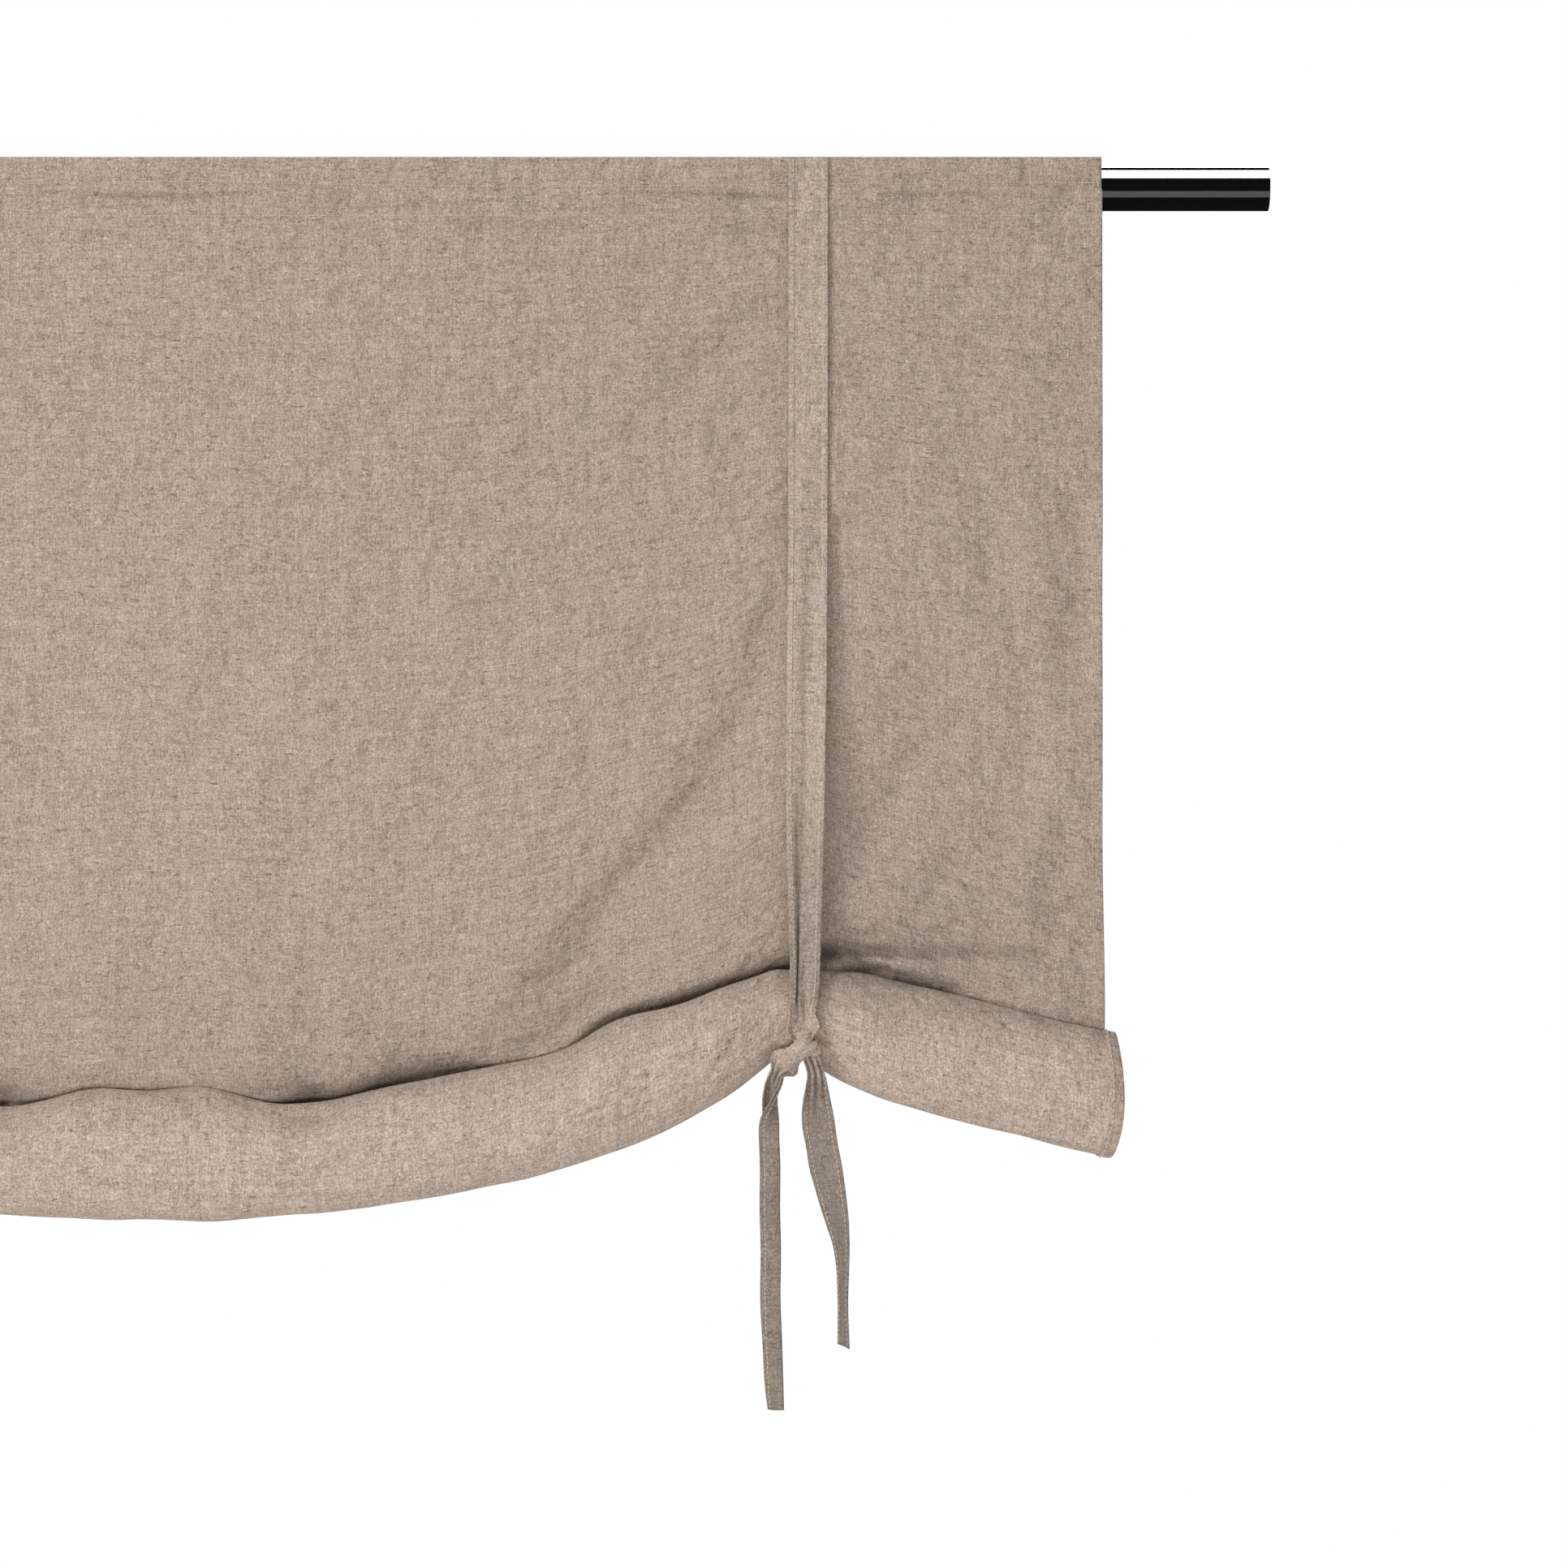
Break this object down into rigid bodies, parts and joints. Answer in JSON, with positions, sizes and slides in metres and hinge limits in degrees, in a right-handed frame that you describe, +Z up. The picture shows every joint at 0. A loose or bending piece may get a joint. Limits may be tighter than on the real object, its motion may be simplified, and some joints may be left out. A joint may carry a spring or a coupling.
{
  "type": "tie-up austrian blind",
  "caption": "Natural linen blind rolled up from the bottom in scallops, held by ribbon ties with half knots, its heading hung on a round black steel rod.",
  "frame": {"origin": "on the axis of the curtain rod, half way along it", "axes": "+X along the rod, to the right of someone who faces the blind's front; +Z up; the front faces -Y"},
  "size_m": [1.415, 0.0744, 0.7955],
  "materials": {
    "linen": "natural slubby linen",
    "casing_linen": "natural slubby linen",
    "tie_linen": "natural slubby linen",
    "black_enamel": "gloss black"
  },
  "bodies": {
    "root": {"blind_panel": "linen", "rod_casing": "casing_linen", "curtain_rod": "black_enamel", "right_front_tie": "tie_linen", "right_back_tie": "tie_linen", "left_front_tie": "tie_linen", "left_back_tie": "tie_linen"}
  },
  "joints": []
}
